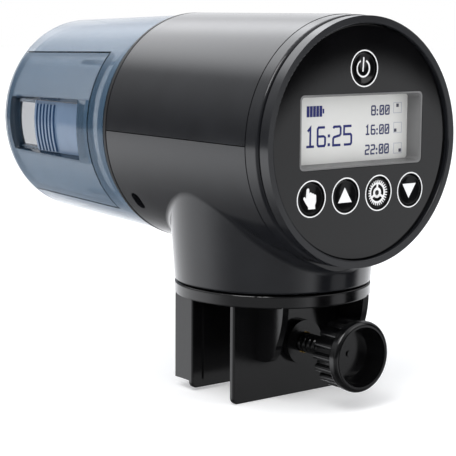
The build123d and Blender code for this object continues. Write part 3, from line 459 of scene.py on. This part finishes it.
def digits(text, left, low, height, width, pitch, colon, line, slashed=False):
    """Outlines of a row of digits; a colon takes its own pitch."""
    outlines = []
    for sign in text:
        if sign == ":":
            for share in (0.1, 0.52):
                centre = (left - (pitch - width) / 2 + colon / 2 - 0.1, low + height * share)
                half = line * 0.62
                outlines.append([(centre[0] + a * half, centre[1] + b * half)
                                 for a, b in ((-1, -1), (1, -1), (1, 1), (-1, 1))])
            left += colon
            continue
        lines = list(DIGITS[sign])
        if slashed and sign == "0":
            lines.append(SLASH)
        for points, closed in lines:
            inset = line / 2
            drawn = [(left + inset + x * (width - line), low + inset + y * (height - line))
                     for x, y in points]
            outlines.append((drawn, closed))
        left += pitch
    strokes = []
    for item in outlines:
        strokes.append(stroke(item[0], line, item[1]) if isinstance(item, tuple) else [item])
    return strokes


def group(name, strokes, thickness, station, place, body, material):
    """Joins separately drawn marks into one piece."""
    parts = [flat_mark(f"{name}_{k}", outlines, thickness, station, place)
             for k, outlines in enumerate(strokes)]
    bm = bmesh.new()
    for part in parts:
        bm.from_mesh(part.data)
        mesh = part.data
        bpy.data.objects.remove(part)
        bpy.data.meshes.remove(mesh)
    mesh = bpy.data.meshes.new(name)
    bm.to_mesh(mesh)
    bm.free()
    piece = bpy.data.objects.new(name, mesh)
    bpy.context.scene.collection.objects.link(piece)
    paint(piece, material)
    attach(piece, body)
    return piece


def box_line(x, y, width, height, line):
    """Outline of a hollow rectangle."""
    return stroke([(x, y), (x + width, y), (x + width, y + height), (x, y + height)], line, True)


def solid_box(x, y, width, height):
    return [[(x, y), (x + width, y), (x + width, y + height), (x, y + height)]]


# ---------------------------------------------------------------- display
def make_display_marks(paints):
    """Clock, battery gauge and three feeding times with check boxes; millimetres from the drum axis."""
    station = front_of("display_panel")
    origin = (0.0, AXIS_Z)
    film = 0.04

    clock = digits("16:25", left=-16.7, low=-1.1, height=5.8, width=3.42, pitch=4.05, colon=1.7, line=0.66)
    group("display_clock", clock, film, station, origin, "head", paints["segment_navy"])

    left, low, bar, pitch, height, bars = -16.4, 7.34, 0.98, 1.16, 3.0, 5
    gauge = [solid_box(left + k * pitch, low, bar, height) for k in range(bars)]
    terminal = solid_box(left + bars * pitch, low + 0.85, 0.55, 1.3)
    gauge.append(terminal)
    group("display_battery", gauge, film, station, origin, "head", paints["segment_navy"])

    times = []
    right, width, pitch, colon = 14.9, 1.83, 2.15, 1.1
    for text, low in (("8:00", 6.92), ("16:00", 1.47), ("22:00", -4.11)):
        left = right - (len(text) - 1) * pitch - colon + (pitch - width)
        times += digits(text, left, low, 2.9, width, pitch, colon, 0.45, slashed=True)
    group("display_times", times, film, station, origin, "head", paints["segment_dim"])

    boxes = []
    dots = []
    dot = 0.95
    corners_and_dots = (
        (16.45, 7.39, 17.99, 9.51),
        (16.65, 1.70, 17.29, 2.41),
        (16.8, -4.2, 19.26, -3.41),
    )
    for x, y, dot_x, dot_y in corners_and_dots:
        boxes.append(box_line(x, y, width=3.1, height=2.9, line=0.22))
        dots.append(solid_box(dot_x - dot / 2, dot_y - dot / 2, dot, dot))
    group("display_boxes", boxes, film, station, origin, "head", paints["segment_faint"])
    group("display_dots", dots, film, station, origin, "head", paints["segment_grey"])


# ---------------------------------------------------------------- buttons
def hand_outline():
    """Pointing hand: one raised finger, three knuckles, thumb and wrist."""
    knuckles = []
    for centre_x, centre_y, radius in ((0.18, 1.28, 0.47), (0.98, 1.02, 0.42), (1.7, 0.68, 0.42)):
        knuckles += arc(radius, 165, 15, 6, (centre_x, centre_y))
    return [
        [(-1.42, 0.2)] + arc(0.5, 180, 0, 8, (-0.92, 2.45)) + knuckles
        + [(2.12, -0.9), (1.72, -1.9), (1.72, -2.85), (-0.75, -2.85), (-0.75, -2.2), (-1.5, -1.25)]
        + arc(0.42, 215, 20, 7, (-2.05, 0.2)),
    ]


def gear_outlines():
    """Toothed rim, three slots and a hub hole."""
    teeth = 28
    rim = []
    for k in range(teeth):
        middle = 360.0 * k / teeth
        for offset, radius in ((-4.4, 2.85), (-1.9, 3.62), (1.9, 3.62), (4.4, 2.85)):
            rim.append((radius * math.cos(math.radians(middle + offset)),
                        radius * math.sin(math.radians(middle + offset))))
    outlines = [rim, circle(0.75, 32)]
    for start in (98, 218, 338):
        outlines.append(arc(2.4, start, start + 104, 16) + arc(1.5, start + 100, start + 4, 16))
    return outlines


def triangle(half, top, base):
    return [[(-half, base), (half, base), (0.0, top)]]


def make_button_marks(paints):
    """White ring printed round each button and a raised sign on each cap."""
    face = front_of("fascia_panel")
    white = paints["print_white"]
    film = 0.05
    ring = [circle(5.12, 96), circle(4.80, 96)]
    signs = {
        "power_button": [stroke(arc(2.3, 117, 423, 40), 0.44), stroke([(0, 3.05), (0, -0.9)], 0.44)],
        "feed_button": [hand_outline()],
        "up_button": [triangle(2.55, 2.3, -1.9)],
        "set_button": [gear_outlines()],
        "down_button": [triangle(2.65, -2.4, 1.8)],
    }
    for name in BUTTONS:
        low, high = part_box(name)
        centre = ((low.x + high.x) / 2, (low.z + high.z) / 2)
        label = name.replace("_button", "")
        group(f"ring_{label}", [ring], film, face, centre, "head", white)
        cap = front_of(name)
        group(f"sign_{label}", signs[name], film, cap, centre, name + "_body", white)


# ---------------------------------------------------------------- clamp screw
def make_threaded_rod(paints):
    """The clamp screw with its real helical thread, between the knob and the pad."""
    low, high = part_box("clamp_screw")
    crest = (high.x - low.x) / 2
    depth = 0.55 * MM
    pitch = 2.0 * MM
    tip = 5.0 * MM                 # plain length at the pad's end
    ball, ball_end = 1.6 * MM, 3.4 * MM
    ball_centre = 1.65 * MM        # from the rod's end
    least = 0.35 * MM
    throat, neck = 1.1 * MM, 1.15 * MM
    valley_half = 0.36             # share of the pitch
    around, steps_per_turn = 48, 10
    count = int((high.y - low.y) / pitch * steps_per_turn)
    bm = bmesh.new()
    rings = []
    for i in range(count + 1):
        y = low.y + (high.y - low.y) * i / count
        from_tip = high.y - y
        limit = crest
        if from_tip < ball_end:
            limit = max(least, math.sqrt(max(0.0, ball ** 2 - (from_tip - ball_centre) ** 2)))
            limit = max(limit, throat) if from_tip > ball_centre else limit
        elif from_tip < tip:
            limit = min(crest, neck + (from_tip - ball_end) * 2)
        ring = []
        for k in range(around):
            turn = 2 * math.pi * k / around
            phase = (y / pitch - k / around) % 1.0
            valley = max(0.0, 1.0 - abs(phase - 0.5) / valley_half)
            radius = min(limit, crest - depth * valley)
            ring.append(bm.verts.new((radius * math.cos(turn), y, SCREW_Z + radius * math.sin(turn))))
        rings.append(ring)
    for a, b in zip(rings, rings[1:]):
        for k in range(around):
            m = (k + 1) % around
            bm.faces.new((a[k], b[k], b[m], a[m]))
    bm.faces.new(rings[0])
    bm.faces.new(rings[-1][::-1])
    bmesh.ops.recalc_face_normals(bm, faces=bm.faces)
    mesh = bpy.data.meshes.new("threaded_rod")
    bm.to_mesh(mesh)
    bm.free()
    for face in mesh.polygons:
        face.use_smooth = True
    rod = bpy.data.objects.new("threaded_rod", mesh)
    bpy.context.scene.collection.objects.link(rod)
    paint(rod, paints["clamp_black"])
    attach(rod, "screw")
    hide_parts("clamp_screw")


# ---------------------------------------------------------------- scene
make_camera()
make_world()
make_lights()
make_floor()
bpy.context.scene.view_settings.view_transform = "Standard"

materials = make_materials()
for part in frame["record"]["subparts"]:
    paint(frame["nodes"][part["node"]], materials[part["material_slot"]])
paint(frame["nodes"]["drum_carrier"], materials["carrier_black"])
make_display_marks(materials)
make_button_marks(materials)
make_threaded_rod(materials)
